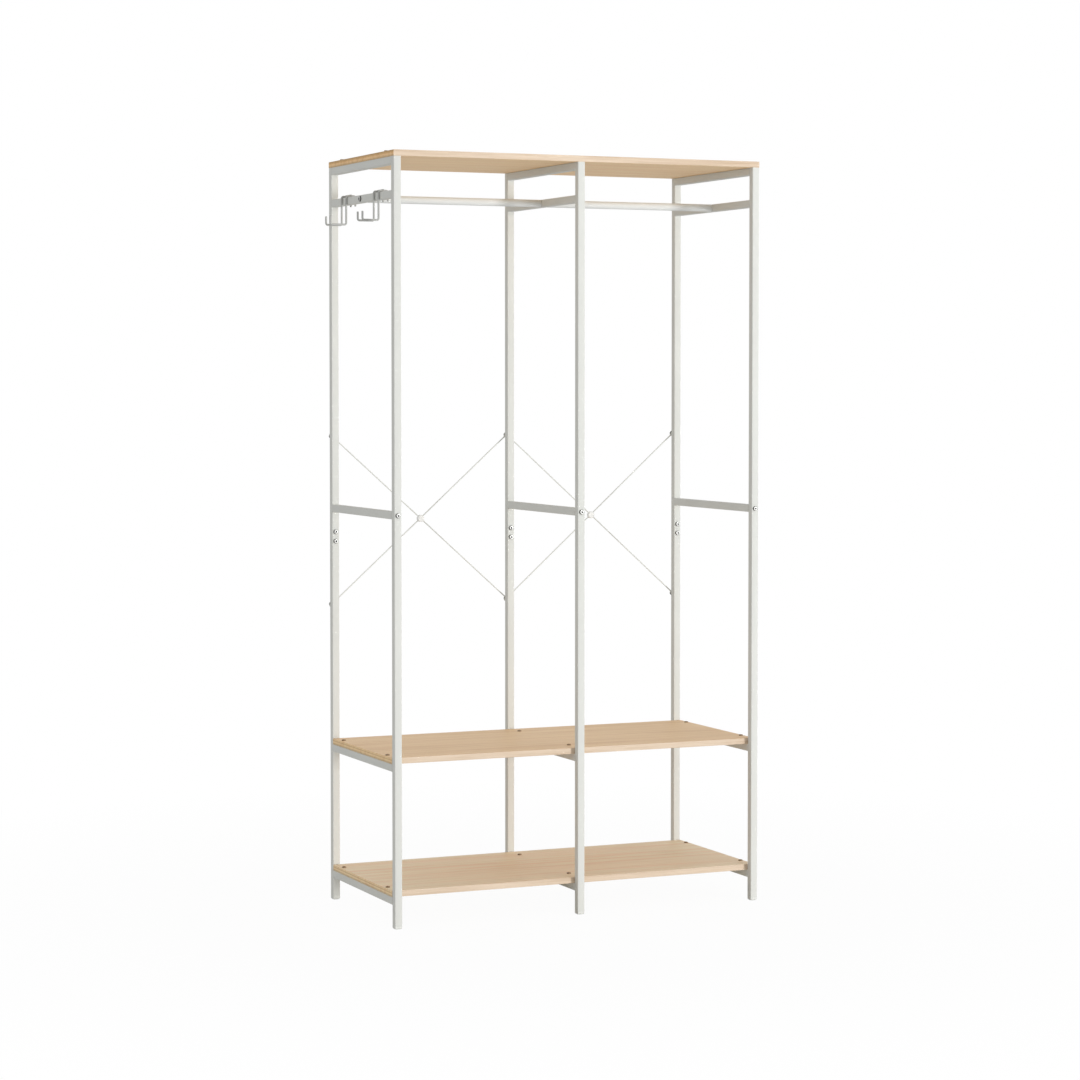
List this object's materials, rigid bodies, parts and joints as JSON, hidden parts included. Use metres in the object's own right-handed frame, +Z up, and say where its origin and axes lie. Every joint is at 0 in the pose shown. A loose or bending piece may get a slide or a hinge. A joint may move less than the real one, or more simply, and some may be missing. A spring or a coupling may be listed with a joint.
{
  "type": "open frame wardrobe",
  "caption": "Open frame wardrobe of square steel tube, with side-by-side hanging bays, oak boards, crossed rear braces and sliding double wire hooks.",
  "frame": {"origin": "on the floor, in the middle of the whole outline, which the hooks on the left make wider than the frame and the braces' bolts at the rear make deeper: the posts are centred on X 0.02165 and Y -0.008", "axes": "+X to the right and +Y to the rear as seen from the front, +Z up"},
  "size_m": [1.0514, 0.481, 1.9],
  "materials": {
    "coated_steel": "satin off-white powder coat",
    "oak_board": "light oak laminate, satin",
    "white_plastic": "matte off-white",
    "zinc_steel": "zinc plated"
  },
  "bodies": {
    "frame": {"left_front_foot": "white_plastic", "left_front_lower_post": "coated_steel", "left_front_upper_post": "coated_steel", "left_front_sleeve": "zinc_steel", "left_rear_foot": "white_plastic", "left_rear_lower_post": "coated_steel", "left_rear_upper_post": "coated_steel", "left_rear_sleeve": "zinc_steel", "left_base_rail": "coated_steel", "left_shelf_rail": "coated_steel", "left_middle_rail": "coated_steel", "left_top_rail": "coated_steel", "left_hanging_rail": "coated_steel", "middle_front_foot": "white_plastic", "middle_front_lower_post": "coated_steel", "middle_front_upper_post": "coated_steel", "middle_front_sleeve": "zinc_steel", "middle_rear_foot": "white_plastic", "middle_rear_lower_post": "coated_steel", "middle_rear_upper_post": "coated_steel", "middle_rear_sleeve": "zinc_steel", "middle_base_rail": "coated_steel", "middle_shelf_rail": "coated_steel", "middle_middle_rail": "coated_steel", "middle_top_rail": "coated_steel", "middle_hanging_rail": "coated_steel", "right_front_foot": "white_plastic", "right_front_lower_post": "coated_steel", "right_front_upper_post": "coated_steel", "right_front_sleeve": "zinc_steel", "right_rear_foot": "white_plastic", "right_rear_lower_post": "coated_steel", "right_rear_upper_post": "coated_steel", "right_rear_sleeve": "zinc_steel", "right_base_rail": "coated_steel", "right_shelf_rail": "coated_steel", "right_middle_rail": "coated_steel", "right_top_rail": "coated_steel", "right_hanging_rail": "coated_steel", "left_hanging_rod": "coated_steel", "left_falling_brace": "coated_steel", "left_rising_brace": "coated_steel", "left_brace_clip": "white_plastic", "right_hanging_rod": "coated_steel", "right_falling_brace": "coated_steel", "right_rising_brace": "coated_steel", "right_brace_clip": "white_plastic", "top_board": "oak_board", "upper_shelf": "oak_board", "lower_shelf": "oak_board", "left_upper_brace_bolt": "zinc_steel", "middle_upper_brace_bolt": "zinc_steel", "right_upper_brace_bolt": "zinc_steel", "left_lower_brace_bolt": "zinc_steel", "middle_lower_brace_bolt": "zinc_steel", "right_lower_brace_bolt": "zinc_steel", "left_rod_bolt": "zinc_steel", "right_rod_bolt": "zinc_steel"},
    "front_hook": {"front_hook": "coated_steel"},
    "rear_hook": {"rear_hook": "coated_steel"}
  },
  "joints": [
    {"name": "front_hook_slide", "type": "slide", "parent": "frame", "child": "front_hook", "axis": [0, 1, 0], "range_m": [-0.0735, 0.09]},
    {"name": "rear_hook_slide", "type": "slide", "parent": "frame", "child": "rear_hook", "axis": [0, 1, 0], "range_m": [-0.082, 0.0815]}
  ]
}
